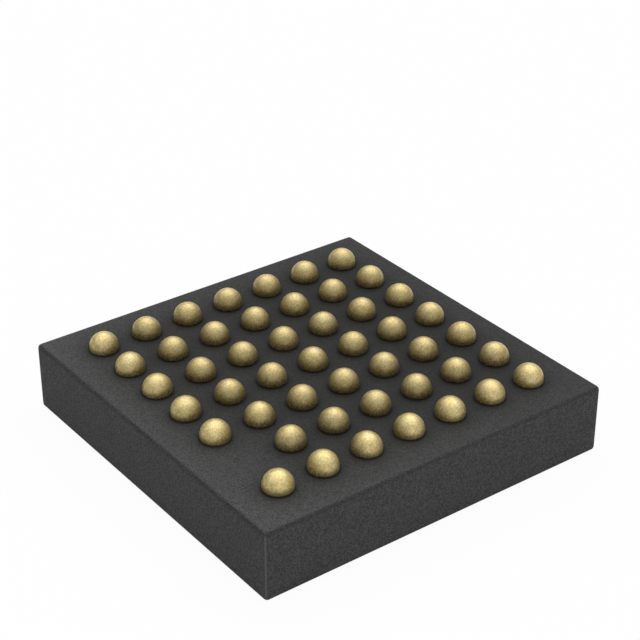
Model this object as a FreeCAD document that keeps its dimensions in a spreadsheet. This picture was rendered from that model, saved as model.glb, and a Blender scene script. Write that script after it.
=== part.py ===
import FreeCAD, Part
import os

import Sketcher
from FreeCAD import Placement, Rotation, Vector

# Ball grid array package, lying on its marked face with the ball side up.
# The origin is the centre of the marked face. +X runs from ball column 1 to 7,
# +Y from ball row A to G, and +Z from the marked face to the balls.

ROWS = "abcdefg"
COLUMNS = "1234567"
EMPTY_PLACE = ("b", "1")
OUTER_RING = len(COLUMNS) // 2
SIDES = 4

# Ball places that one side of the package serves, in pitches from the middle, in the order of
# its bond fingers. The outer ring's tracks reach the fingers from outside and the inner rings'
# from inside, by turns. Turned to the other three sides, the places take in the whole grid
# apart from its middle.
OUTER_PLACES = [(OUTER_RING, step) for step in range(-OUTER_RING, OUTER_RING)]
INNER_PLACES = [(2, -2), (2, -1), (1, -1), (2, 0), (1, 0), (2, 1)]
SERVED_PLACES = [place for pair in zip(OUTER_PLACES, INNER_PLACES) for place in pair]

# Driving sizes in millimetres: name, value, what it measures.
SIZES = (
    ("ball_pitch", 0.50, "between ball centres, along the rows and the columns"),
    ("ball_edge_distance", 0.50, "from the outer ball centres to the side of the body"),
    ("ball_diameter", 0.30, "solder ball, across its widest level"),
    ("ball_rise", 0.035, "ball centre above the ball side"),
    ("edge_round", 0.045, "radius along every edge of the body"),
    ("mask_overlap", 0.0375, "solder mask over the rim of each land"),
    ("mask_over_copper", 0.015, "solder mask above the copper"),
    ("copper_thickness", 0.015, "plated foil on each side of the core"),
    ("core_thickness", 0.15, "glass and resin laminate"),
    ("via_diameter", 0.08, "filled via through the core"),
    ("via_ring", 0.02, "copper around the via on the die side"),
    ("track_width", 0.025, "copper track on the die side"),
    ("ground_pad_side", 0.36, "copper square under the middle of the die"),
    ("finger_length", 0.20, "bond finger, across its row"),
    ("finger_width", 0.09, "bond finger, along its row"),
    ("finger_row_start", 0.05, "from the corner of the rows to the middle of the first finger"),
    ("finger_row_end", 0.25, "from the middle of the last finger to the corner of the rows"),
    ("window_margin", 0.03, "solder mask kept back around the fingers"),
    ("die_to_finger", 0.30, "from the side of the die to the middle of a finger row"),
    ("die_thickness", 0.20, "silicon"),
    ("die_attach_thickness", 0.02, "adhesive film under the die"),
    ("bond_pad_inset", 0.08, "from the side of the die to its bond pads"),
    ("bond_pad_corner", 0.235, "from the corner of the die to the end of a pad row"),
    ("wire_diameter", 0.02, "gold bond wire"),
    ("ball_bond_diameter", 0.05, "squashed ball at the die end of a wire"),
    ("ball_bond_height", 0.012, "squashed ball, off the face of the die"),
    ("loop_height", 0.10, "wire loop above the face of the die"),
    ("loop_flat", 0.12, "level stretch of the loop, before it slopes to its finger"),
    ("mold_cover", 0.21, "moulding compound over the loops"),
)

# Sizes that follow from the driving ones: name, formula, what it measures.
DERIVED = (
    ("body_side", f"{2 * OUTER_RING} * sizes.ball_pitch + 2 * sizes.ball_edge_distance",
     "side of the square body"),
    ("finger_row", f"({OUTER_RING} - 0.5) * sizes.ball_pitch",
     "middle of a finger row, halfway between the two outer ball rings"),
    ("die_side", "2 * (finger_row - sizes.die_to_finger)", "side of the square die"),
    ("mask_thickness", "sizes.copper_thickness + sizes.mask_over_copper", "solder mask off the core"),
    ("die_face", "sizes.mold_cover + sizes.loop_height", "level of the bonded face of the die"),
    ("die_back", "die_face + sizes.die_thickness", "level of the back of the die"),
    ("cap_height", "die_back + sizes.die_attach_thickness", "level of the die side's solder mask"),
    ("core_bottom", "cap_height + mask_thickness", "level of the die side of the core"),
    ("finger_face", "core_bottom - sizes.copper_thickness", "level of the die side's copper"),
    ("core_top", "core_bottom + sizes.core_thickness", "level of the ball side of the core"),
    ("land_face", "core_top + sizes.copper_thickness", "level of the ball side's copper"),
    ("body_height", "core_top + mask_thickness", "level of the ball side"),
    ("mask_opening_radius", "sqrt((sizes.ball_diameter / 2) ^ 2 - sizes.ball_rise ^ 2)",
     "hole in the solder mask that a ball fills"),
    ("land_radius", "mask_opening_radius + sizes.mask_overlap", "copper land under a ball"),
)


def fill_sheet(doc, name, rows, prefix=""):
    """Write one named cell for each row of a size table."""
    sheet = doc.addObject("Spreadsheet::Sheet", name)
    for number, (alias, content, meaning) in enumerate(rows, start=1):
        sheet.set(f"A{number}", meaning)
        sheet.set(f"B{number}", f"{prefix}{content}")
        sheet.setAlias(f"B{number}", alias)
    doc.recompute()
    return sheet


def read_sizes(sheet, rows):
    """Give the named sizes of a sheet as plain numbers."""
    return {alias: float(sheet.get(alias)) for alias, _, _ in rows}


def bind(item, expressions):
    """Tie properties of an object to expressions over the size sheets."""
    for name, expression in expressions.items():
        item.setExpression(name, expression)


def origin_feature(body, role):
    """Find one of the body's own origin planes or axes."""
    return next(item for item in body.Origin.OriginFeatures if item.Role == role)


def add_sketch(body, name, role):
    """Start a sketch on one of the body's own origin planes."""
    sketch = body.newObject("Sketcher::SketchObject", name)
    sketch.AttachmentSupport = (origin_feature(body, role), [""])
    sketch.MapMode = "FlatFace"
    return sketch


def add_dimension(sketch, name, constraint, expression):
    """Add a named dimension to a sketch and tie it to an expression."""
    number = sketch.addConstraint(constraint)
    sketch.renameConstraint(number, name)
    sketch.setExpression(f"Constraints.{name}", expression)


def join_ends(sketch, count):
    """Join the end of each of the first lines of a sketch to the start of the next."""
    for number in range(count):
        following = (number + 1) % count
        sketch.addConstraint(Sketcher.Constraint("Coincident", number, 2, following, 1))


def draw_rectangle(sketch, left, bottom, right, top):
    """Draw a rectangle whose sides lie at four expressions from the sketch's origin."""
    corners = [Vector(-1, -1, 0), Vector(1, -1, 0), Vector(1, 1, 0), Vector(-1, 1, 0)]
    lines = [Part.LineSegment(corners[n], corners[(n + 1) % 4]) for n in range(4)]
    sketch.addGeometry(lines, False)
    join_ends(sketch, 4)
    for number in range(4):
        direction = "Vertical" if number % 2 else "Horizontal"
        sketch.addConstraint(Sketcher.Constraint(direction, number))
    add_dimension(sketch, "left", Sketcher.Constraint("DistanceX", -1, 1, 0, 1, -1.0), left)
    add_dimension(sketch, "bottom", Sketcher.Constraint("DistanceY", -1, 1, 0, 1, -1.0), bottom)
    add_dimension(sketch, "right", Sketcher.Constraint("DistanceX", -1, 1, 2, 1, 1.0), right)
    add_dimension(sketch, "top", Sketcher.Constraint("DistanceY", -1, 1, 2, 1, 1.0), top)


def ball_places():
    """Give the row, the column and the place in pitches from the middle for each ball."""
    places = []
    for row_number, row in enumerate(ROWS):
        for column_number, column in enumerate(COLUMNS):
            if (row, column) != EMPTY_PLACE:
                places.append((row, column, column_number - OUTER_RING, row_number - OUTER_RING))
    return places


def rounded_block(doc):
    """Make the outline of the whole package, which every layer of it shares."""
    body = doc.addObject("PartDesign::Body", "package_block")
    outline = add_sketch(body, "package_outline", "XY_Plane")
    half = "derived.body_side / 2"
    draw_rectangle(outline, f"-{half}", f"-{half}", half, half)
    pad = body.newObject("PartDesign::Pad", "package_pad")
    pad.Profile = outline
    bind(pad, {"Length": "derived.body_height"})
    doc.recompute()
    edges = body.newObject("PartDesign::Fillet", "package_edges")
    edges.Base = (pad, [f"Edge{number}" for number in range(1, len(pad.Shape.Edges) + 1)])
    bind(edges, {"Radius": "sizes.edge_round"})
    return body


def centred_slab(doc, name, side, low, high):
    """Make a square slab about the origin between two levels."""
    slab = doc.addObject("Part::Box", name)
    bind(slab, {
        "Length": side,
        "Width": side,
        "Height": f"{high} - {low}",
        ".Placement.Base.x": f"-{side} / 2",
        ".Placement.Base.y": f"-{side} / 2",
        ".Placement.Base.z": low,
    })
    return slab


def package_layer(doc, name, block, low, high):
    """Take the layer between two levels out of the rounded package outline."""
    layer = doc.addObject("Part::Common", f"{name}_layer")
    layer.Base = block
    layer.Tool = centred_slab(doc, f"{name}_slab", "derived.body_side", low, high)
    return layer


def disc_grid(doc, name, radius, low, high):
    """Stand one disc at every ball place, between two levels."""
    discs = []
    for row, column, step_x, step_y in ball_places():
        disc = doc.addObject("Part::Cylinder", f"{name}_{row}{column}")
        bind(disc, {
            "Radius": radius,
            "Height": f"{high} - {low}",
            ".Placement.Base.x": f"{step_x} * sizes.ball_pitch",
            ".Placement.Base.y": f"{step_y} * sizes.ball_pitch",
            ".Placement.Base.z": low,
        })
        discs.append(disc)
    grid = doc.addObject("Part::Compound", name)
    grid.Links = discs
    return grid


def cut_away(doc, name, base, tools):
    """Cut the pieces that fill a layer's hollows out of it, so that they meet face to face."""
    filling = doc.addObject("Part::Compound", f"{name}_filling")
    filling.Links = tools
    part = doc.addObject("Part::Cut", name)
    part.Base = base
    part.Tool = filling
    return part


def solder_ball(doc, size, row, column, step_x, step_y):
    """Turn one reflowed ball: a foot that fills its mask opening, under a truncated sphere."""
    body = doc.addObject("PartDesign::Body", f"solder_ball_{row}{column}")
    sketch = add_sketch(body, f"ball_profile_{row}{column}", "XZ_Plane")
    middle = size["mask_over_copper"] + size["ball_rise"]
    foot = Vector(size["mask_opening_radius"], 0, 0)
    neck = foot + Vector(0, size["mask_over_copper"], 0)
    widest = Vector(size["ball_diameter"] / 2, middle, 0)
    crown = Vector(0, middle + size["ball_diameter"] / 2, 0)
    sketch.addGeometry([
        Part.LineSegment(Vector(), foot),
        Part.LineSegment(foot, neck),
        Part.Arc(neck, widest, crown),
        Part.LineSegment(crown, Vector()),
    ], False)
    join_ends(sketch, 4)
    sketch.addConstraint(Sketcher.Constraint("Coincident", 0, 1, -1, 1))
    sketch.addConstraint(Sketcher.Constraint("Horizontal", 0))
    sketch.addConstraint(Sketcher.Constraint("Vertical", 1))
    sketch.addConstraint(Sketcher.Constraint("Vertical", 3))
    sketch.addConstraint(Sketcher.Constraint("PointOnObject", 2, 3, -2))
    add_dimension(sketch, "foot", Sketcher.Constraint("DistanceX", -1, 1, 0, 2, foot.x),
                  "derived.mask_opening_radius")
    add_dimension(sketch, "neck", Sketcher.Constraint("DistanceY", -1, 1, 1, 2, neck.y),
                  "sizes.mask_over_copper")
    add_dimension(sketch, "ball", Sketcher.Constraint("Radius", 2, widest.x),
                  "sizes.ball_diameter / 2")
    turned = body.newObject("PartDesign::Revolution", f"ball_turned_{row}{column}")
    turned.Profile = sketch
    turned.ReferenceAxis = (sketch, ["V_Axis"])
    turned.Angle = 360
    bind(body, {
        ".Placement.Base.x": f"{step_x} * sizes.ball_pitch",
        ".Placement.Base.y": f"{step_y} * sizes.ball_pitch",
        ".Placement.Base.z": "derived.land_face",
    })
    return body


def finger_windows(doc):
    """Make the four slots that bare the finger rows in the solder mask of the die side."""
    body = doc.addObject("PartDesign::Body", "finger_windows")
    body.AllowCompound = True
    outline = add_sketch(body, "window_outline", "XY_Plane")
    across = "(sizes.finger_length / 2 + sizes.window_margin)"
    along = "(sizes.finger_width / 2 + sizes.window_margin)"
    draw_rectangle(
        outline,
        f"derived.finger_row - {across}",
        f"sizes.finger_row_start - derived.finger_row - {along}",
        f"derived.finger_row + {across}",
        f"derived.finger_row - sizes.finger_row_end + {along}",
    )
    pad = body.newObject("PartDesign::Pad", "window_pad")
    pad.Profile = outline
    bind(pad, {"Length": "derived.mask_thickness"})
    windows = body.newObject("PartDesign::PolarPattern", "window_pattern")
    windows.Originals = [pad]
    windows.Axis = (origin_feature(body, "Z_Axis"), [""])
    windows.Angle = 360
    windows.Occurrences = SIDES
    body.Tip = windows
    bind(body, {".Placement.Base.z": "derived.cap_height"})
    return body


class Layout:
    """Where the tracks and the wires of one side run, and how they turn to the other sides."""

    def __init__(self, size):
        """Work out how the fingers and the bond pads are spaced along their rows."""
        self.size = size
        steps = len(SERVED_PLACES) - 1
        self.finger_start = size["finger_row_start"] - size["finger_row"]
        self.finger_step = (size["finger_row"] - size["finger_row_end"] - self.finger_start) / steps
        self.pad_start = size["bond_pad_corner"] - size["die_side"] / 2
        self.pad_step = -2 * self.pad_start / steps

    @staticmethod
    def turn(side):
        """Give the matrix that turns the first side's layout to another side."""
        return Placement(Vector(), Rotation(Vector(0, 0, 1), 360 / SIDES * side)).toMatrix()

    def nets(self):
        """Give the side and the finger number of each ball that has a wire."""
        filled = {(step_x, step_y) for _, _, step_x, step_y in ball_places()}
        found = []
        for side in range(SIDES):
            for number, place in enumerate(SERVED_PLACES):
                turned = self.turn(side).multVec(Vector(*place, 0))
                if (round(turned.x), round(turned.y)) in filled:
                    found.append((side, number))
        return found

    def finger(self, number):
        """Give the middle of a finger of the first side, at the face of its copper."""
        along = self.finger_start + number * self.finger_step
        return Vector(self.size["finger_row"], along, self.size["finger_face"])

    def bond_pad(self, number):
        """Give the middle of a bond pad of the first side, at the face of the die."""
        across = self.size["die_side"] / 2 - self.size["bond_pad_inset"]
        return Vector(across, self.pad_start + number * self.pad_step, self.size["die_face"])

    def copper_run(self, start, end):
        """Make a straight length of track between two points."""
        along = (end - start).normalize()
        across = Vector(-along.y, along.x, 0) * (self.size["track_width"] / 2)
        outline = [start + across, end + across, end - across, start - across, start + across]
        face = Part.Face(Part.makePolygon(outline))
        return face.extrude(Vector(0, 0, self.size["copper_thickness"]))

    def copper_net(self, number):
        """Make the via pad, the track and the finger of one ball in one piece of copper."""
        size = self.size
        thickness = size["copper_thickness"]
        step_x, step_y = SERVED_PLACES[number]
        via = Vector(step_x * size["ball_pitch"], step_y * size["ball_pitch"], size["finger_face"])
        pad = Part.makeCylinder(size["via_diameter"] / 2 + size["via_ring"], thickness, via)
        middle = self.finger(number)
        half = Vector(size["finger_length"] / 2, size["finger_width"] / 2, 0)
        pieces = [Part.makeBox(2 * half.x, 2 * half.y, thickness, middle - half)]
        near_end = half.x if via.x > middle.x else -half.x
        route = [via, middle + Vector(near_end, 0, 0)]
        if step_x < OUTER_RING - 1:
            # A track from inside the middle ring passes halfway between two of its vias.
            bend = via + Vector(size["ball_pitch"], size["ball_pitch"] / 2, 0)
            pieces.append(Part.makeCylinder(size["track_width"] / 2, thickness, bend))
            route.insert(1, bend)
        pieces += [self.copper_run(start, end) for start, end in zip(route, route[1:])]
        return pad.multiFuse(pieces).removeSplitter()

    def bond_wire(self, number):
        """Make one wire, from its squashed ball over the loop to a wire's thickness past its finger."""
        size = self.size
        pad = self.bond_pad(number)
        landing = self.finger(number)
        along = Vector(landing.x - pad.x, landing.y - pad.y, 0).normalize()
        foot = pad - Vector(0, 0, size["ball_bond_height"])
        rise = pad - Vector(0, 0, size["loop_height"])
        kink = rise + along * size["loop_flat"]
        slope = landing - kink
        past = landing + slope * (size["wire_diameter"] / slope.z)
        profile = Part.Wire(Part.makeCircle(size["wire_diameter"] / 2, foot, Vector(0, 0, -1)))
        mitred_corners = 1
        path = Part.makePolygon([foot, rise, kink, past])
        return path.makePipeShell([profile], True, False, mitred_corners)

    def ball_bond(self, number):
        """Make the squashed ball that ties a wire to its bond pad."""
        size = self.size
        radius = size["ball_bond_diameter"] / 2
        return Part.makeCylinder(radius, size["ball_bond_height"], self.bond_pad(number), Vector(0, 0, -1))


def die_side_copper(doc, layout):
    """Make the tracks and bond fingers of every side, and the ground pad under the die."""
    size = layout.size
    nets = [layout.copper_net(number).transformed(layout.turn(side)) for side, number in layout.nets()]
    side = size["ground_pad_side"]
    corner = Vector(-side / 2, -side / 2, size["finger_face"])
    nets.append(Part.makeBox(side, side, size["copper_thickness"], corner))
    copper = doc.addObject("Part::Feature", "die_side_copper")
    copper.Shape = Part.makeCompound(nets)
    return copper


def bond_wires(doc, layout):
    """Make every bond wire as one solid, trimmed flat where it meets its finger."""
    size = layout.size
    reach = size["body_side"]
    corner = Vector(-reach / 2, -reach / 2, size["finger_face"])
    trimmer = Part.makeBox(reach, reach, 2 * size["wire_diameter"], corner)
    wires = []
    for side, number in layout.nets():
        wire = layout.bond_wire(number).cut(trimmer).fuse(layout.ball_bond(number))
        wires.append(wire.transformed(layout.turn(side)))
    group = doc.addObject("Part::Feature", "bond_wires")
    group.Shape = Part.makeCompound(wires)
    return group


def build(doc):
    """Build the package and give each sub-part with the number of solids in it."""
    size = read_sizes(fill_sheet(doc, "sizes", SIZES), SIZES)
    size.update(read_sizes(fill_sheet(doc, "derived", DERIVED, "="), DERIVED))
    layout = Layout(size)
    block = rounded_block(doc)

    # Substrate: a core with filled vias, copper on both sides and solder mask over the copper.
    lands = disc_grid(doc, "ball_lands", "derived.land_radius", "derived.core_top", "derived.land_face")
    openings = disc_grid(doc, "mask_openings", "derived.mask_opening_radius",
                         "derived.land_face", "derived.body_height")
    vias = disc_grid(doc, "filled_vias", "sizes.via_diameter / 2",
                     "derived.core_bottom", "derived.core_top")
    copper = die_side_copper(doc, layout)
    windows = finger_windows(doc)
    ball_mask_layer = package_layer(doc, "ball_mask", block, "derived.core_top", "derived.body_height")
    core_layer = package_layer(doc, "core", block, "derived.core_bottom", "derived.core_top")
    die_mask_layer = package_layer(doc, "die_mask", block, "derived.cap_height", "derived.core_bottom")
    ball_mask = cut_away(doc, "ball_side_solder_mask", ball_mask_layer, [lands, openings])
    core = cut_away(doc, "substrate_core", core_layer, [vias])
    die_mask = cut_away(doc, "die_side_solder_mask", die_mask_layer, [copper, windows])

    # Circuit: the die on its film, wired to the fingers.
    die = centred_slab(doc, "die", "derived.die_side", "derived.die_face", "derived.die_back")
    attach = centred_slab(doc, "die_attach", "derived.die_side", "derived.die_back", "derived.cap_height")
    wires = bond_wires(doc, layout)

    # Moulding: poured around the circuit and into the windows over the fingers.
    poured = doc.addObject("Part::Fuse", "poured_compound")
    poured.Base = package_layer(doc, "cap", block, "0", "derived.cap_height")
    poured.Tool = windows
    cap = cut_away(doc, "mold_cap", poured, [copper, die, attach, wires])

    balls = [solder_ball(doc, size, *place) for place in ball_places()]
    doc.recompute()

    parts = [(part, 1) for part in (cap, die, attach, die_mask, core, ball_mask, *balls)]
    parts.append((wires, len(layout.nets())))
    parts += [(group, len(balls)) for group in (copper, vias, lands)]
    return parts


def check(doc, parts):
    """Stop if an object failed to compute, or a sub-part isn't the sound solids it should be."""
    for item in doc.Objects:
        if {"Invalid", "Error"} & set(item.State):
            raise RuntimeError(f"{item.Label} failed to compute")
    for part, count in parts:
        if part.Shape.isNull() or not part.Shape.isValid() or len(part.Shape.Solids) != count:
            raise RuntimeError(f"{part.Label} should be {count} sound solids")


def main():
    """Build, check and write one STEP file for each sub-part."""
    doc = FreeCAD.newDocument("ball_grid_array")
    parts = build(doc)
    check(doc, parts)
    os.makedirs("parts", exist_ok=True)
    for part, count in parts:
        part.Shape.exportStep(f"parts/{part.Label}.step")
        print(part.Label, count, "solids", round(part.Shape.Volume, 6), "mm3")


main()
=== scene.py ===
import logging
import math
from dataclasses import dataclass, field, replace
from enum import Enum
from itertools import product

import bpy
from mathutils import Matrix, Vector


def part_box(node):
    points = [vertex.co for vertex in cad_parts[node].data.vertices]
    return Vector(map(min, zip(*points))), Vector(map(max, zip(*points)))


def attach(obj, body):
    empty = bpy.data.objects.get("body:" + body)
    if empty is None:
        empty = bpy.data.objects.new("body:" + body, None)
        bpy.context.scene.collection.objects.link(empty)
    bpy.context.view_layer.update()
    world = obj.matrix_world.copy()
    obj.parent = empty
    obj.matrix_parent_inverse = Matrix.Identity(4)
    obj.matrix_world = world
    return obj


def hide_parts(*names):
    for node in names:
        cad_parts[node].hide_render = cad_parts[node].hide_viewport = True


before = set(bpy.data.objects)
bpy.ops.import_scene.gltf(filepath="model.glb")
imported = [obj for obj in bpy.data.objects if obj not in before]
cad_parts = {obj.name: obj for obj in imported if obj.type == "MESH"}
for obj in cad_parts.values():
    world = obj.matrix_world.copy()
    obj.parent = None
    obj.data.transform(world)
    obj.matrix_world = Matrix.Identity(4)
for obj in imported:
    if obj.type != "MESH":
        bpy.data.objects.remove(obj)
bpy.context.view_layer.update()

# Looks of a ball grid array chip that lies on its marked face, with its solder balls up.
# The flat layers of its body are the frame's own nodes with a finish of their own. The balls
# are one smooth mesh, made by a node tree that stands one reflowed ball at each ball place.

LOG = logging.getLogger("chip")
MM = 0.001
BODY = "root"

Tree = bpy.types.NodeTree
Socket = bpy.types.NodeSocket
Number = Socket | float
Colour = tuple[float, float, float, float]
NodeInputs = dict[str | int, object]
Span = tuple[float, float]

# The Mix node's colour sockets share their names with its number sockets, so they go by number.
COLOUR_A, COLOUR_B, COLOUR_RESULT = 6, 7, 2

# A noise keeps to the middle of its range, so this much of it is spread over the whole change.
GRAIN_SPAN: Span = (0.35, 0.65)
CLOUD_SPAN: Span = (0.3, 0.7)

# How many finer noises lie over the first, and how strong each is beside the one before it.
GRAIN_DETAIL = 3.0
GRAIN_ROUGHNESS = 0.6
CLOUD_DETAIL = 2.0

OCCLUSION_SAMPLES = 8
WHITE = "FFFFFF"


def linear_colour(hex_code: str) -> Colour:
    """Turn an sRGB hex value into a linear colour.

    Args:
        hex_code: six hex digits, red first.

    Returns:
        Red, green, blue and a full alpha.
    """
    shares = [int(hex_code[place:place + 2], 16) / 255 for place in (0, 2, 4)]
    red, green, blue = (s / 12.92 if s <= 0.04045 else ((s + 0.055) / 1.055) ** 2.4 for s in shares)
    return red, green, blue, 1.0


def add_node(tree: Tree, kind: str, inputs: NodeInputs | None = None,
             **settings: object) -> bpy.types.Node:
    """Add a node with its settings, and fill or link its inputs.

    Args:
        tree: the tree that gets the node.
        kind: the node's type.
        inputs: an input's name or number, and the value or the output socket that goes there.
        **settings: the node's own properties.

    Returns:
        The new node.
    """
    node = tree.nodes.new(kind)
    for name, value in settings.items():
        setattr(node, name, value)
    for name, value in (inputs or {}).items():
        if isinstance(value, Socket):
            tree.links.new(value, node.inputs[name])
        else:
            node.inputs[name].default_value = value
    return node


@dataclass(frozen=True)
class Finish:
    """What every finish of the chip shares: a base tone, its gloss and its grain.

    Attributes:
        name: the material's name.
        dark: the tone at the dark end of the grain, as sRGB hex.
        pale: the tone at its pale end.
        roughness: the mean roughness.
        roughness_spread: how far the cloud moves it up and down.
        metallic: 1 for bare metal, less under a film.
        specular: the strength of the sheen of what isn't metal.
        grain_mm: how far apart the blotches of the grain are.
        grain_height_mm: how deep the grain dents the surface.
        cloud_mm: how far apart the blotches of the coarser cloud are.
        cloud_share: how much of the tone's change the cloud takes.
    """

    name: str
    dark: str
    pale: str
    roughness: float
    roughness_spread: float
    metallic: float
    specular: float
    grain_mm: float
    grain_height_mm: float
    cloud_mm: float
    cloud_share: float

    def tone(self, tree: Tree, share: Socket) -> Socket:
        """Blend the dark and the pale tone.

        Args:
            tree: the shader tree.
            share: how much of the pale tone shows, from 0 to 1.

        Returns:
            The colour.
        """
        return add_node(tree, "ShaderNodeMix", {
            "Factor": share, COLOUR_A: linear_colour(self.dark), COLOUR_B: linear_colour(self.pale),
        }, data_type="RGBA").outputs[COLOUR_RESULT]

    def material(self) -> bpy.types.Material:
        """Build the procedural material.

        Returns:
            The material, ready to be assigned.
        """
        made = bpy.data.materials.new(self.name)
        made.use_nodes = True
        tree = made.node_tree
        tree.nodes.clear()
        place = add_node(tree, "ShaderNodeTexCoord").outputs["Object"]
        grain = add_node(tree, "ShaderNodeTexNoise", {
            "Vector": place, "Scale": 1 / (self.grain_mm * MM),
            "Detail": GRAIN_DETAIL, "Roughness": GRAIN_ROUGHNESS}).outputs["Fac"]
        cloud = add_node(tree, "ShaderNodeTexNoise", {
            "Vector": place, "Scale": 1 / (self.cloud_mm * MM),
            "Detail": CLOUD_DETAIL}).outputs["Fac"]
        blend = add_node(tree, "ShaderNodeMix", {
            "Factor": self.cloud_share, "A": grain, "B": cloud})
        spread = add_node(tree, "ShaderNodeMapRange", {
            "Value": blend.outputs["Result"],
            "From Min": GRAIN_SPAN[0], "From Max": GRAIN_SPAN[1]})
        gloss = add_node(tree, "ShaderNodeMapRange", {
            "Value": cloud, "From Min": CLOUD_SPAN[0], "From Max": CLOUD_SPAN[1],
            "To Min": self.roughness - self.roughness_spread,
            "To Max": self.roughness + self.roughness_spread})
        dents = add_node(tree, "ShaderNodeBump", {
            "Height": grain, "Distance": self.grain_height_mm * MM})
        shader = add_node(tree, "ShaderNodeBsdfPrincipled", {
            "Base Color": self.tone(tree, spread.outputs["Result"]),
            "Metallic": self.metallic,
            "Roughness": gloss.outputs["Result"],
            "Specular IOR Level": self.specular,
            "Normal": dents.outputs["Normal"]})
        add_node(tree, "ShaderNodeOutputMaterial", {"Surface": shader.outputs["BSDF"]})
        return made


@dataclass(frozen=True)
class SolderFinish(Finish):
    """Solder: brown stains, painted shade where it faces other balls, a painted shadow at the foot.

    Attributes:
        shade_attribute: what the ball mesh calls its number for how much a point faces other balls.
        shade_factor: what the painted shade leaves of the tone where that number is 1.
        stain_and_shade: the stains' tone, which also paints shade where they are strongest.
        stain_mm: how far apart the stains are.
        stain_and_shade_share: how strong they are at the foot.
        top_share: what is left of that strength fade_mm higher.
        fade_mm: the height over which they fade.
        open_share: what is left of it where a point faces no other ball.
        full_shade_at: the shade attribute from which nothing is taken off.
        foot_level_mm: the level of the ball side.
        foot_band_mm: the height over which the painted contact shadow at the foot fades.
        foot_left: what the painted shadow leaves of the tone.
        stain_span: the part of the noise that the stains start and end in.
    """

    shade_attribute: str
    shade_factor: float
    stain_and_shade: str
    stain_mm: float
    stain_and_shade_share: float
    top_share: float
    fade_mm: float
    open_share: float
    full_shade_at: float
    foot_level_mm: float
    foot_band_mm: float
    foot_left: float
    stain_span: Span = (0.45, 0.65)

    def tone(self, tree: Tree, share: Socket) -> Socket:
        """Blend the tones, lay the stains, and paint shade facing other balls and at the foot.

        Args:
            tree: the shader tree.
            share: how much of the pale tone shows, from 0 to 1.

        Returns:
            The colour.
        """
        place = add_node(tree, "ShaderNodeTexCoord").outputs["Object"]
        level = add_node(tree, "ShaderNodeSeparateXYZ", {"Vector": place}).outputs["Z"]
        shade = add_node(tree, "ShaderNodeAttribute",
                         attribute_name=self.shade_attribute).outputs["Fac"]
        # Brown stains, strongest at the foot and where a point faces other balls, also paint shade
        # there.
        blotches = add_node(tree, "ShaderNodeTexNoise", {
            "Vector": place, "Scale": 1 / (self.stain_mm * MM), "Detail": CLOUD_DETAIL})
        spots = add_node(tree, "ShaderNodeMapRange", {
            "Value": blotches.outputs["Fac"],
            "From Min": self.stain_span[0], "From Max": self.stain_span[1]})
        foot_level = self.foot_level_mm * MM
        near_foot = add_node(tree, "ShaderNodeMapRange", {
            "Value": level, "From Min": foot_level,
            "From Max": (self.foot_level_mm + self.fade_mm) * MM,
            "To Min": self.stain_and_shade_share, "To Max": self.stain_and_shade_share * self.top_share})
        facing_balls = add_node(tree, "ShaderNodeMapRange", {
            "Value": shade, "From Min": 0.0, "From Max": self.full_shade_at,
            "To Min": self.open_share, "To Max": 1.0})
        strength = add_node(tree, "ShaderNodeMath", {
            0: near_foot.outputs["Result"], 1: facing_balls.outputs["Result"]}, operation="MULTIPLY")
        amount = add_node(tree, "ShaderNodeMath", {
            0: strength.outputs[0], 1: spots.outputs["Result"]}, operation="MULTIPLY")
        stained_and_shaded = add_node(tree, "ShaderNodeMix", {
            "Factor": amount.outputs[0],
            COLOUR_A: super().tone(tree, share), COLOUR_B: linear_colour(self.stain_and_shade),
        }, data_type="RGBA")
        # Painted shade on the sides of the ball that face other balls.
        painted_shade = add_node(tree, "ShaderNodeMath", {
            0: self.shade_factor, 1: shade}, operation="POWER")
        # A painted contact shadow: a dark line at the foot of the ball.
        foot_line = add_node(tree, "ShaderNodeMapRange", {
            "Value": level, "From Min": foot_level,
            "From Max": (self.foot_level_mm + self.foot_band_mm) * MM,
            "To Min": self.foot_left, "To Max": 1.0})
        left = add_node(tree, "ShaderNodeMath", {
            0: painted_shade.outputs[0], 1: foot_line.outputs["Result"]}, operation="MULTIPLY")
        return add_node(tree, "ShaderNodeVectorMath", {
            "Vector": stained_and_shaded.outputs[COLOUR_RESULT], "Scale": left.outputs[0],
        }, operation="SCALE").outputs["Vector"]


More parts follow.
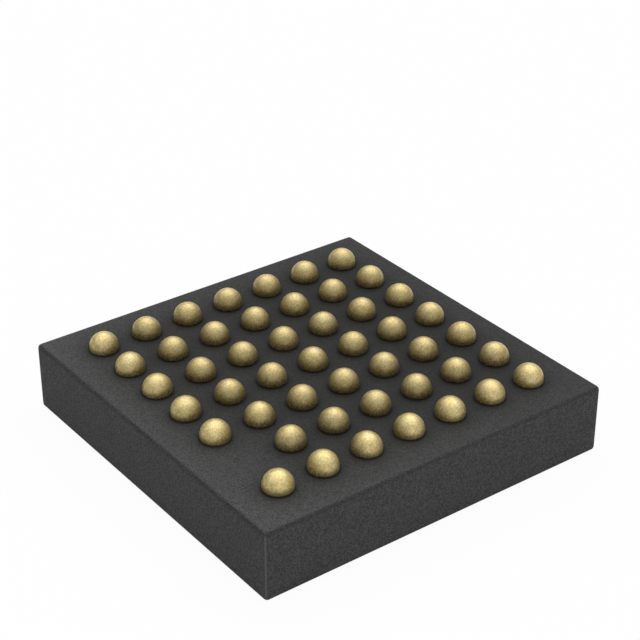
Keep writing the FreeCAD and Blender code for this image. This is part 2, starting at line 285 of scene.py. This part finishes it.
@dataclass(frozen=True)
class CornerHighlightEdgeShadeFinish(Finish):
    """A matt surface: a painted highlight at upright corners and painted shade at its upper edge.

    Attributes:
        corner_highlight: the tone of the painted highlight at the corner.
        edge_left: what the painted shade at the upper edge leaves of the tone.
        corner_span: the normal's X times Y at which the highlight starts and is full.
        edge_span: the normal's Z at which the upper edge starts and is full.
    """

    corner_highlight: str
    edge_left: float
    corner_span: Span = (0.44, 0.5)
    edge_span: Span = (0.02, 0.3)

    def tone(self, tree: Tree, share: Socket) -> Socket:
        """Blend the tones, paint a highlight at upright corners, and paint shade at the upper edge.

        Args:
            tree: the shader tree.
            share: how much of the pale tone shows, from 0 to 1.

        Returns:
            The colour.
        """
        normal = add_node(tree, "ShaderNodeTexCoord").outputs["Normal"]
        axes = add_node(tree, "ShaderNodeSeparateXYZ", {"Vector": normal}).outputs
        product_xy = add_node(tree, "ShaderNodeMath", {
            0: axes["X"], 1: axes["Y"]}, operation="MULTIPLY")
        turned = add_node(tree, "ShaderNodeMath", {0: product_xy.outputs[0]}, operation="ABSOLUTE")
        # A paler painted highlight on the rounding of upright corners.
        highlight_share = add_node(tree, "ShaderNodeMapRange", {
            "Value": turned.outputs[0],
            "From Min": self.corner_span[0], "From Max": self.corner_span[1],
        }, interpolation_type="SMOOTHSTEP")
        highlighted = add_node(tree, "ShaderNodeMix", {
            "Factor": highlight_share.outputs["Result"],
            COLOUR_A: super().tone(tree, share), COLOUR_B: linear_colour(self.corner_highlight),
        }, data_type="RGBA")
        # Painted shade on the upper edge.
        left = add_node(tree, "ShaderNodeMapRange", {
            "Value": axes["Z"], "From Min": self.edge_span[0], "From Max": self.edge_span[1],
            "To Min": 1.0, "To Max": self.edge_left})
        return add_node(tree, "ShaderNodeVectorMath", {
            "Vector": highlighted.outputs[COLOUR_RESULT], "Scale": left.outputs["Result"],
        }, operation="SCALE").outputs["Vector"]


@dataclass(frozen=True)
class SawnFinish(Finish):
    """A coating on the face, with painted shade where it turns down to the sawn side.

    Painted shade lies on the square field that holds the balls. It is thinner round the
    bare place and darkest round each foot, with a painted contact shadow there. The face is paler
    towards -X.

    Attributes:
        edge_dark: the tone at the dark end of the grain, at the edge, darkened by painted shade.
        edge_pale: the tone at its pale end, darkened the same way.
        ring_mm: how far the ring of painted shade round each foot reaches.
        ring_power: how dark it is, as a power of how open the face lies.
        contact_mm: how far the painted contact shadow right at the foot reaches.
        contact_power: how dark it is.
        field_shade_left: what the painted shade leaves of the tone where it is thickest.
        field_mm: from the face's middle to the field's side.
        field_soft_mm: how far to both sides of that the painted shade thins out.
        bare_place_mm: the ball place that is empty.
        bare_mm: how far round it the painted shade is thinner.
        bare_share: how much of the painted shade is missing in the middle of it.
        paling_per_mm: how much paler the face gets for each millimetre towards -X.
        flat_span: the normal's Z at which the face's own tone starts and is full.
    """

    edge_dark: str
    edge_pale: str
    ring_mm: float
    ring_power: float
    contact_mm: float
    contact_power: float
    field_shade_left: float
    field_mm: float
    field_soft_mm: float
    bare_place_mm: tuple[float, float]
    bare_mm: float
    bare_share: float
    paling_per_mm: float
    flat_span: Span = (0.8, 0.98)

    def painted_shade(self, tree: Tree, place: Socket) -> Socket:
        """Add the rule for how thick the painted shade on the field of balls is.

        Args:
            tree: the shader tree.
            place: where on the face.

        Returns:
            The thickness, from 0 to 1.
        """
        without_height = (1, 1, 0)
        level = add_node(tree, "ShaderNodeVectorMath", {
            0: place, 1: without_height}, operation="MULTIPLY")
        gap = add_node(tree, "ShaderNodeVectorMath", {
            0: level.outputs["Vector"], 1: Vector((*self.bare_place_mm, 0)) * MM,
        }, operation="DISTANCE")
        thick = add_node(tree, "ShaderNodeMapRange", {
            "Value": gap.outputs["Value"], "From Min": 0.0, "From Max": self.bare_mm * MM,
            "To Min": 1 - self.bare_share, "To Max": 1.0,
        }, interpolation_type="SMOOTHSTEP").outputs["Result"]
        axes = add_node(tree, "ShaderNodeSeparateXYZ", {"Vector": place}).outputs
        for axis in ("X", "Y"):
            off_middle = add_node(tree, "ShaderNodeMath", {0: axes[axis]}, operation="ABSOLUTE")
            inside = add_node(tree, "ShaderNodeMapRange", {
                "Value": off_middle.outputs[0],
                "From Min": (self.field_mm + self.field_soft_mm) * MM,
                "From Max": (self.field_mm - self.field_soft_mm) * MM,
            }, interpolation_type="SMOOTHSTEP")
            thick = add_node(tree, "ShaderNodeMath", {
                0: thick, 1: inside.outputs["Result"]}, operation="MULTIPLY").outputs[0]
        return thick

    def painted_shade_factor(self, tree: Tree) -> Socket:
        """Add the rule for how much of the face's tone is left under the painted shade.

        Args:
            tree: the shader tree.

        Returns:
            A factor for the tone.
        """
        place = add_node(tree, "ShaderNodeTexCoord").outputs["Object"]
        # Painted shade on the field of balls, thinner round the bare place.
        left = add_node(tree, "ShaderNodeMath", {
            0: self.field_shade_left, 1: self.painted_shade(tree, place)}, operation="POWER")
        # The face gets paler towards -X.
        along = add_node(tree, "ShaderNodeSeparateXYZ", {"Vector": place}).outputs["X"]
        paled = add_node(tree, "ShaderNodeMath", {
            0: along, 1: -self.paling_per_mm / MM, 2: 1.0}, operation="MULTIPLY_ADD")
        tone_factor = add_node(tree, "ShaderNodeMath", {
            0: left.outputs[0], 1: paled.outputs[0]}, operation="MULTIPLY").outputs[0]
        # A ring of painted shade round each foot, and a painted contact shadow right at it.
        rings = ((self.ring_mm, self.ring_power), (self.contact_mm, self.contact_power))
        for reach_mm, power in rings:
            openness = add_node(tree, "ShaderNodeAmbientOcclusion", {
                "Distance": reach_mm * MM}, samples=OCCLUSION_SAMPLES)
            ring = add_node(tree, "ShaderNodeMath", {
                0: openness.outputs["AO"], 1: power}, operation="POWER")
            tone_factor = add_node(tree, "ShaderNodeMath", {
                0: tone_factor, 1: ring.outputs[0]}, operation="MULTIPLY").outputs[0]
        return tone_factor

    def tone(self, tree: Tree, share: Socket) -> Socket:
        """Blend the face's tones, and the edge's darker tones, painted shade where the surface
        turns down.

        Args:
            tree: the shader tree.
            share: how much of the pale tone shows, from 0 to 1.

        Returns:
            The colour.
        """
        # The edge's darker tones are painted shade on the rounding that turns down to the side.
        edge = add_node(tree, "ShaderNodeMix", {
            "Factor": share,
            COLOUR_A: linear_colour(self.edge_dark), COLOUR_B: linear_colour(self.edge_pale),
        }, data_type="RGBA")
        face = add_node(tree, "ShaderNodeVectorMath", {
            "Vector": super().tone(tree, share), "Scale": self.painted_shade_factor(tree)}, operation="SCALE")
        normal = add_node(tree, "ShaderNodeTexCoord").outputs["Normal"]
        lift = add_node(tree, "ShaderNodeSeparateXYZ", {"Vector": normal}).outputs["Z"]
        flat = add_node(tree, "ShaderNodeMapRange", {
            "Value": lift, "From Min": self.flat_span[0], "From Max": self.flat_span[1],
        }, interpolation_type="SMOOTHSTEP")
        return add_node(tree, "ShaderNodeMix", {
            "Factor": flat.outputs["Result"],
            COLOUR_A: edge.outputs[COLOUR_RESULT], COLOUR_B: face.outputs["Vector"],
        }, data_type="RGBA").outputs[COLOUR_RESULT]


# Epoxy moulding compound, pressed against a spark-eroded tool. Its fine even grain gives the eye
# a dry, sooty black. The real grain is about 0.005 mm: it is drawn at 0.015 mm, because the
# camera sees nothing finer than 0.01 mm. The upright corners get a paler painted highlight, and
# the upper edge painted shade.
MOULDED_EPOXY = CornerHighlightEdgeShadeFinish(
    name="moulded_epoxy", dark="303030", pale="565656", roughness=0.8, roughness_spread=0.05,
    metallic=0.0, specular=0.1, grain_mm=0.015, grain_height_mm=0.001, cloud_mm=0.25,
    cloud_share=0.1, corner_highlight="5A5A5A", edge_left=0.85)

# Glass and resin laminate with dyed resin, sawn through: as black and dry as the moulding, so
# that the side looks like one block.
# Like the moulding, the laminate gets the painted highlight at upright corners and painted shade at
# the upper edge.
SAWN_LAMINATE = replace(MOULDED_EPOXY, name="sawn_laminate")

# Liquid solder mask, printed on the board and cured: matt black, with a little more sheen than
# the moulding. It gets painted shade between the balls and round their feet, and at its edge.
# Its grain is drawn as coarse as the moulding's, for the same reason.
CURED_MASK = SawnFinish(
    name="cured_solder_mask", dark="2A2A2A", pale="535353", roughness=0.8, roughness_spread=0.05,
    metallic=0.0, specular=0.385, grain_mm=0.015, grain_height_mm=0.001, cloud_mm=0.25,
    cloud_share=0.1, edge_dark="1C1C1C", edge_pale="424242", ring_mm=0.2, ring_power=2.0,
    contact_mm=0.03, contact_power=3.0, field_shade_left=0.4, field_mm=1.75, field_soft_mm=0.7,
    bare_place_mm=(-1.5, -1.0), bare_mm=0.9, bare_share=0.32, paling_per_mm=0.12)

# Solder, melted and set again under flux: a satin metal whose warm tint is the flux film on it,
# so it isn't all metal. The grain is that of the frozen crystals, about 0.01 mm and drawn at
# 0.016 mm. Brown stains lie mostly at the feet and between the balls, and paint shade there too.
# The sides that face other balls get painted shade, and each foot a painted contact shadow.
REFLOWED_SOLDER = SolderFinish(
    name="reflowed_solder", dark="D9BA69", pale="FEF1BB", roughness=0.47, roughness_spread=0.04,
    metallic=0.85, specular=0.5, grain_mm=0.016, grain_height_mm=0.0006, cloud_mm=0.05,
    cloud_share=0.2, shade_attribute="neighbour_shade", shade_factor=0.58, stain_and_shade="805A22",
    stain_mm=0.018, stain_and_shade_share=0.75, top_share=0.15, fade_mm=0.13, open_share=0.25,
    full_shade_at=0.6, foot_level_mm=0.74, foot_band_mm=0.014, foot_left=0.25)

# Copper, plated onto foil: even, satin and salmon red. Its grain is the plating's, 0.01 mm.
PLATED_COPPER = Finish(
    name="plated_copper", dark="B87048", pale="CC8058", roughness=0.4, roughness_spread=0.05,
    metallic=1.0, specular=0.5, grain_mm=0.01, grain_height_mm=0.0002, cloud_mm=0.05,
    cloud_share=0.5)

# Gold, drawn through a die into wire: smooth and bright, with faint marks of 0.005 mm.
DRAWN_GOLD = Finish(
    name="drawn_gold", dark="E0B050", pale="F0C468", roughness=0.25, roughness_spread=0.03,
    metallic=1.0, specular=0.5, grain_mm=0.005, grain_height_mm=0.00005, cloud_mm=0.03,
    cloud_share=0.5)

# Silicon, ground to thickness: dark grey with the dull metal sheen of marks 0.008 mm apart.
GROUND_SILICON = Finish(
    name="ground_silicon", dark="4A4C52", pale="5C5E64", roughness=0.35, roughness_spread=0.05,
    metallic=0.8, specular=0.5, grain_mm=0.008, grain_height_mm=0.0001, cloud_mm=0.2,
    cloud_share=0.3)

# Adhesive film, cured under the die: pale, dull and speckled with filler grains of 0.01 mm.
CURED_FILM = Finish(
    name="cured_film", dark="9C9484", pale="ACA494", roughness=0.7, roughness_spread=0.05,
    metallic=0.0, specular=0.5, grain_mm=0.01, grain_height_mm=0.0001, cloud_mm=0.1,
    cloud_share=0.4)


class Layer(Enum):
    """A piece of the body, whose frame node is shown as it is, with its finish."""

    MOULD_CAP = ("mold_cap", MOULDED_EPOXY)
    DIE_SIDE_MASK = ("die_side_solder_mask", SAWN_LAMINATE)
    CORE = ("substrate_core", SAWN_LAMINATE)
    BALL_SIDE_MASK = ("ball_side_solder_mask", CURED_MASK)
    BALL_LANDS = ("ball_lands", PLATED_COPPER)
    VIAS = ("filled_vias", PLATED_COPPER)
    TRACKS = ("die_side_copper", PLATED_COPPER)
    WIRES = ("bond_wires", DRAWN_GOLD)
    DIE = ("die", GROUND_SILICON)
    DIE_ATTACH = ("die_attach", CURED_FILM)


class FinishShelf:
    """The materials made so far, so that pieces of one finish share one material."""

    def __init__(self) -> None:
        """Start with no material."""
        self.made: dict[str, bpy.types.Material] = {}

    def take(self, finish: Finish) -> bpy.types.Material:
        """Give the material of a finish, and build it the first time.

        Args:
            finish: the finish that is wanted.

        Returns:
            Its material.
        """
        if finish.name not in self.made:
            self.made[finish.name] = finish.material()
        return self.made[finish.name]


@dataclass
class PackageBody:
    """The flush layers of the package and the circuit inside it.

    Attributes:
        shelf: where the materials come from.
    """

    shelf: FinishShelf

    def dress(self) -> None:
        """Give each layer's frame node its finish."""
        for layer in Layer:
            node_name, finish = layer.value
            material = self.shelf.take(finish)
            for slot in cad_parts[node_name].material_slots:
                slot.material = material
            LOG.info("%s is dressed in %s", node_name, finish.name)


@dataclass
class BallGrid:
    """The reflowed balls: truncated spheres, each with a foot that fills its mask opening.

    Attributes:
        shelf: where the materials come from.
        segments: the faces round a ball.
        rings: the faces from its bottom to its top.
        near_share: how much of a pitch a ball may be off the place beside, and still be there.
        shade_share: how much of the facing towards each neighbour counts.
        names: the frame's ball nodes.
        places: the middle of each.
        radius: the balls' radius.
        foot_level: the level of the lands that the balls stand on.
        centre_level: the level of the balls' centres.
        pitch: the distance from a ball to the next.
    """

    shelf: FinishShelf
    segments: int = 48
    rings: int = 32
    near_share: float = 0.25
    shade_share: float = 0.5
    names: list[str] = field(init=False)
    places: list[Vector] = field(init=False)
    radius: float = field(init=False)
    foot_level: float = field(init=False)
    centre_level: float = field(init=False)
    pitch: float = field(init=False)

    def __post_init__(self) -> None:
        """Read the ball places and sizes from the frame's ball nodes."""
        self.names = sorted(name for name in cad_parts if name.startswith("solder_ball_"))
        boxes = {name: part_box(name) for name in self.names}
        middles = {name: (low + high) / 2 for name, (low, high) in boxes.items()}
        self.places = list(middles.values())
        low, high = boxes[self.names[0]]
        last, one_before = "solder_ball_a7", "solder_ball_a6"
        self.radius = boxes[last][1].x - middles[last].x
        self.foot_level = low.z
        self.centre_level = high.z - self.radius
        self.pitch = (middles[last] - middles[one_before]).length

    def sizes(self) -> dict[str, float]:
        """Give the node tree's sizes, each under its input's name, in metres."""
        return {"Radius": self.radius, "Centre level": self.centre_level,
                "Foot level": self.foot_level, "Pitch": self.pitch}

    def neighbour_shade(self, tree: Tree, places: Socket, centre: Socket, pitch: Socket) -> Socket:
        """Add the rule for how much a point of a ball faces the balls beside it.

        Args:
            tree: the node tree.
            places: the ball places.
            centre: the place of the ball that the point is on.
            pitch: the distance from a ball to the next.

        Returns:
            The sum, over the neighbours that are there, of how squarely the point faces each,
            times shade_share.
        """
        normal = add_node(tree, "GeometryNodeInputNormal").outputs["Normal"]
        total: Number = 0.0
        for along, across in product((-1, 0, 1), repeat=2):
            if along == across == 0:
                continue
            offset = add_node(tree, "ShaderNodeVectorMath", {
                0: (along, across, 0), "Scale": pitch}, operation="SCALE")
            beside = add_node(tree, "ShaderNodeVectorMath", {
                0: centre, 1: offset.outputs["Vector"]}, operation="ADD")
            gap = add_node(tree, "GeometryNodeProximity", {
                "Geometry": places, "Source Position": beside.outputs["Vector"],
            }, target_element="POINTS").outputs["Distance"]
            near = add_node(tree, "ShaderNodeMath", {
                0: gap, 1: self.pitch * self.near_share}, operation="LESS_THAN")
            lean = add_node(tree, "ShaderNodeVectorMath", {
                0: normal, 1: Vector((along, across, 0)).normalized()}, operation="DOT_PRODUCT")
            facing = add_node(tree, "ShaderNodeMath", {
                0: lean.outputs["Value"], 1: 0.0}, operation="MAXIMUM")
            total = add_node(tree, "ShaderNodeMath", {
                0: near.outputs[0], 1: facing.outputs[0], 2: total,
            }, operation="MULTIPLY_ADD").outputs[0]
        return add_node(tree, "ShaderNodeMath", {
            0: total, 1: self.shade_share}, operation="MULTIPLY").outputs[0]

    def ball_tree(self, material: bpy.types.Material) -> Tree:
        """Build the node tree that stands a ball at each point of its mesh.

        Args:
            material: what the balls are made of.

        Returns:
            The tree, with the balls' sizes as named inputs.
        """
        tree = bpy.data.node_groups.new("reflowed_balls", "GeometryNodeTree")
        face = tree.interface
        face.new_socket("Places", in_out="INPUT", socket_type="NodeSocketGeometry")
        for size in self.sizes():
            face.new_socket(size, in_out="INPUT", socket_type="NodeSocketFloat")
        face.new_socket("Balls", in_out="OUTPUT", socket_type="NodeSocketGeometry")
        given = add_node(tree, "NodeGroupInput").outputs
        ball = add_node(tree, "GeometryNodeMeshUVSphere", {
            "Segments": self.segments, "Rings": self.rings, "Radius": given["Radius"]})
        position = add_node(tree, "GeometryNodeInputPosition").outputs["Position"]
        axes = add_node(tree, "ShaderNodeSeparateXYZ", {"Vector": position}).outputs
        raised = add_node(tree, "ShaderNodeMath", {
            0: axes["Z"], 1: given["Centre level"]}, operation="ADD")
        floored = add_node(tree, "ShaderNodeMath", {
            0: raised.outputs[0], 1: given["Foot level"]}, operation="MAXIMUM")
        joined = add_node(tree, "ShaderNodeCombineXYZ", {
            "X": axes["X"], "Y": axes["Y"], "Z": floored.outputs[0]})
        footed = add_node(tree, "GeometryNodeSetPosition", {
            "Geometry": ball.outputs["Mesh"], "Position": joined.outputs["Vector"]})
        smooth = add_node(tree, "GeometryNodeSetShadeSmooth", {
            "Geometry": footed.outputs["Geometry"]})
        marked = add_node(tree, "GeometryNodeCaptureAttribute", {"Geometry": given["Places"]})
        marked.capture_items.new("VECTOR", "Centre")
        tree.links.new(position, marked.inputs["Centre"])
        stood = add_node(tree, "GeometryNodeInstanceOnPoints", {
            "Points": marked.outputs["Geometry"], "Instance": smooth.outputs["Geometry"]})
        real = add_node(tree, "GeometryNodeRealizeInstances", {
            "Geometry": stood.outputs["Instances"]})
        # How much a point faces other balls: it drives the solder's painted shade and its stains.
        shade = self.neighbour_shade(
            tree, given["Places"], marked.outputs["Centre"], given["Pitch"])
        shaded = add_node(tree, "GeometryNodeStoreNamedAttribute", {
            "Geometry": real.outputs["Geometry"],
            "Name": REFLOWED_SOLDER.shade_attribute,
            "Value": shade,
        }, data_type="FLOAT", domain="POINT")
        coated = add_node(tree, "GeometryNodeSetMaterial", {
            "Geometry": shaded.outputs["Geometry"], "Material": material})
        add_node(tree, "NodeGroupOutput", {"Balls": coated.outputs["Geometry"]})
        return tree

    def build(self) -> bpy.types.Object:
        """Make the balls as one plain mesh that stands for every ball node.

        Returns:
            The piece.
        """
        tree = self.ball_tree(self.shelf.take(REFLOWED_SOLDER))
        points = bpy.data.meshes.new("ball_places")
        points.from_pydata([(place.x, place.y, 0) for place in self.places], [], [])
        stand = bpy.data.objects.new("ball_places", points)
        bpy.context.scene.collection.objects.link(stand)
        modifier = stand.modifiers.new("balls", "NODES")
        modifier.node_group = tree
        sizes = self.sizes()
        for item in tree.interface.items_tree:
            if item.name in sizes:
                modifier[item.identifier] = sizes[item.name]
        depsgraph = bpy.context.evaluated_depsgraph_get()
        mesh = bpy.data.meshes.new_from_object(stand.evaluated_get(depsgraph))
        mesh.name = "solder_balls"
        bpy.data.objects.remove(stand)
        piece = bpy.data.objects.new("solder_balls", mesh)
        bpy.context.scene.collection.objects.link(piece)
        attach(piece, BODY)
        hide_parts(*self.names)
        LOG.info("solder_balls: %d balls, %d faces", len(self.names), len(mesh.polygons))
        return piece


def direction(azimuth_deg: float, elevation_deg: float) -> Vector:
    """Give the unit vector from the chip to a place on the sky.

    Args:
        azimuth_deg: 0 towards -Y, growing towards +X.
        elevation_deg: above the floor.

    Returns:
        The unit vector.
    """
    azimuth, elevation = math.radians(azimuth_deg), math.radians(elevation_deg)
    return Vector((math.sin(azimuth) * math.cos(elevation),
                   -math.cos(azimuth) * math.cos(elevation),
                   math.sin(elevation)))


@dataclass(frozen=True)
class Glow:
    """A soft bright place on the walls of the light tent, brightest in its middle.

    Attributes:
        azimuth_deg: where its middle is, as direction takes it.
        elevation_deg: how high that is.
        sharpness: the power with which it falls off from its middle.
        radiance: how bright its middle is, where 1 is white.
    """

    azimuth_deg: float
    elevation_deg: float
    sharpness: float
    radiance: float

    def share(self, tree: Tree, looking: Socket, rest: Number) -> Socket:
        """Add the glow to the light from the other places.

        Args:
            tree: the world's shader tree.
            looking: the direction on the sky.
            rest: the light so far.

        Returns:
            The light with this glow.
        """
        lean = add_node(tree, "ShaderNodeVectorMath", {
            0: looking, 1: direction(self.azimuth_deg, self.elevation_deg),
        }, operation="DOT_PRODUCT")
        facing = add_node(tree, "ShaderNodeMath", {
            0: lean.outputs["Value"], 1: 0.0}, operation="MAXIMUM")
        falloff = add_node(tree, "ShaderNodeMath", {
            0: facing.outputs[0], 1: self.sharpness}, operation="POWER")
        return add_node(tree, "ShaderNodeMath", {
            0: falloff.outputs[0], 1: self.radiance, 2: rest,
        }, operation="MULTIPLY_ADD").outputs[0]


@dataclass(frozen=True)
class Softbox:
    """A square lamp near the chip, so that what is close to it is lit more.

    Attributes:
        azimuth_deg: where it hangs, as direction takes it.
        elevation_deg: how high that is.
        distance_mm: how far from the middle of the marked face.
        side_mm: the lamp's side.
        radiance: how bright it is, where 1 is white.
    """

    azimuth_deg: float
    elevation_deg: float
    distance_mm: float
    side_mm: float
    radiance: float

    def hang(self) -> bpy.types.Object:
        """Make the lamp and turn it to the chip. Its power is radiance times pi times area.

        Returns:
            The lamp's object.
        """
        side = self.side_mm * MM
        lamp = bpy.data.lights.new("softbox", "AREA")
        lamp.shape = "SQUARE"
        lamp.size = side
        lamp.energy = self.radiance * math.pi * side * side
        softbox = bpy.data.objects.new("softbox", lamp)
        bpy.context.scene.collection.objects.link(softbox)
        outward = direction(self.azimuth_deg, self.elevation_deg)
        softbox.location = outward * (self.distance_mm * MM)
        softbox.rotation_mode = "QUATERNION"
        softbox.rotation_quaternion = outward.to_track_quat("Z", "Y")
        return softbox


@dataclass
class Studio:
    """The white floor, the light tent over it and the camera.

    Attributes:
        roof: the tent's roof, which lights the ball side.
        back_softbox: behind the chip: the bright caps of the balls.
        front_reflector: low in front: the sides that the camera sees, and the balls' fronts.
        side_reflector: a weak one at the right.
        left_softbox: a weak near lamp that makes the left side of the chip brighter.
        floor_side_mm: the floor's side.
        floor_gap_mm: how far the floor lies below the marked face.
        floor_tone: the floor's tone as sRGB hex, which it throws back onto the chip.
        floor_shade_share: how much of the chip's shadow the camera sees on the floor.
        camera_azimuth_deg: where the camera looks from, as direction takes it.
        camera_elevation_deg: how high that is.
        camera_place_mm: where the camera stands.
        focal_length_px: its focal length in pixels of the picture.
        image_side_px: the picture's side.
        sensor_width_mm: the sensor's width, which the focal length in millimetres goes with.
        seen_mm: the nearest and the farthest distance that the camera sees.
    """

    roof: Glow = Glow(0.0, 90.0, 1.1, 0.92)
    back_softbox: Glow = Glow(130.0, 62.0, 4.8, 1.28)
    front_reflector: Glow = Glow(-22.0, -8.0, 5.0, 1.18)
    side_reflector: Glow = Glow(40.0, 22.0, 6.0, 0.1)
    left_softbox: Softbox = Softbox(-100.0, 42.0, 7.5, 5.0, 0.15)
    floor_side_mm: float = 400.0
    floor_gap_mm: float = 0.002
    floor_tone: str = "F2F2F2"
    floor_shade_share: float = 0.05
    camera_azimuth_deg: float = -36.77
    camera_elevation_deg: float = 29.985
    camera_place_mm: tuple[float, float, float] = (-8.952, -12.093, 9.931)
    focal_length_px: float = 1778.87
    image_side_px: float = 640.0
    sensor_width_mm: float = 36.0
    seen_mm: Span = (1.0, 1000.0)

    def lay_floor(self) -> bpy.types.Object:
        """Lay the white floor. The camera and reflections see it white, with the chip's shadow.

        Returns:
            The floor.
        """
        half = self.floor_side_mm * MM / 2
        level = -self.floor_gap_mm * MM
        mesh = bpy.data.meshes.new("floor")
        corners = [(-half, -half, level), (half, -half, level),
                   (half, half, level), (-half, half, level)]
        mesh.from_pydata(corners, [], [(0, 1, 2, 3)])
        floor = bpy.data.objects.new("floor", mesh)
        bpy.context.scene.collection.objects.link(floor)
        mesh.materials.append(self.white_paper())
        return floor

    def white_paper(self) -> bpy.types.Material:
        """Build the floor's material: white, most of it without shade for what sees it.

        Returns:
            The material.
        """
        made = bpy.data.materials.new("white_paper")
        made.use_nodes = True
        tree = made.node_tree
        tree.nodes.clear()
        matt = add_node(tree, "ShaderNodeBsdfDiffuse", {"Color": linear_colour(self.floor_tone)})
        white = add_node(tree, "ShaderNodeEmission", {
            "Color": linear_colour(WHITE), "Strength": 1.0})
        path = add_node(tree, "ShaderNodeLightPath").outputs
        seen = path["Is Camera Ray"]
        for ray in ("Is Glossy Ray", "Is Transmission Ray"):
            seen = add_node(tree, "ShaderNodeMath", {
                0: seen, 1: path[ray]}, operation="MAXIMUM").outputs[0]
        white_share = add_node(tree, "ShaderNodeMath", {
            0: seen, 1: 1 - self.floor_shade_share}, operation="MULTIPLY")
        mixed = add_node(tree, "ShaderNodeMixShader", {
            0: white_share.outputs[0], 1: matt.outputs["BSDF"], 2: white.outputs["Emission"]})
        add_node(tree, "ShaderNodeOutputMaterial", {"Surface": mixed.outputs["Shader"]})
        return made

    def light_tent(self) -> None:
        """Make the light tent round the chip. The camera sees its walls plain white.

        Metal sees the glows instead, because the shading of the balls is their reflection.
        """
        world = bpy.data.worlds.new("light_tent")
        bpy.context.scene.world = world
        world.use_nodes = True
        tree = world.node_tree
        tree.nodes.clear()
        looking = add_node(tree, "ShaderNodeTexCoord").outputs["Object"]
        light: Number = 0.0
        for glow in (self.roof, self.back_softbox, self.front_reflector, self.side_reflector):
            light = glow.share(tree, looking, light)
        path = add_node(tree, "ShaderNodeLightPath").outputs
        clear = add_node(tree, "ShaderNodeMath", {
            0: path["Is Camera Ray"], 1: path["Is Transmission Ray"]}, operation="MAXIMUM")
        strength = add_node(tree, "ShaderNodeMix", {
            "Factor": clear.outputs[0], "A": light, "B": 1.0})
        walls = add_node(tree, "ShaderNodeBackground", {
            "Color": linear_colour(WHITE), "Strength": strength.outputs["Result"]})
        add_node(tree, "ShaderNodeOutputWorld", {"Surface": walls.outputs["Background"]})

    def place_camera(self) -> None:
        """Stand the camera where the photo was taken from."""
        lens = bpy.data.cameras.new("camera")
        lens.sensor_width = self.sensor_width_mm
        lens.lens = self.focal_length_px * self.sensor_width_mm / self.image_side_px
        lens.clip_start, lens.clip_end = (distance * MM for distance in self.seen_mm)
        camera = bpy.data.objects.new("camera", lens)
        bpy.context.scene.collection.objects.link(camera)
        back = direction(self.camera_azimuth_deg, self.camera_elevation_deg)
        azimuth = math.radians(self.camera_azimuth_deg)
        right = Vector((math.cos(azimuth), math.sin(azimuth), 0))
        turned = Matrix((right, back.cross(right), back)).transposed().to_4x4()
        camera.matrix_world = Matrix.Translation(Vector(self.camera_place_mm) * MM) @ turned
        bpy.context.scene.camera = camera

    def build(self) -> None:
        """Set up the floor, the light and the camera."""
        self.lay_floor()
        self.left_softbox.hang()
        self.light_tent()
        self.place_camera()
        bpy.context.scene.view_settings.view_transform = "Standard"
        LOG.info("studio: floor, light tent and camera are set up")


def main() -> None:
    """Dress the chip, make its balls and set up the studio."""
    logging.basicConfig(level=logging.INFO, format="%(name)s: %(message)s")
    shelf = FinishShelf()
    PackageBody(shelf).dress()
    BallGrid(shelf).build()
    Studio().build()


if __name__ == "__main__":
    main()
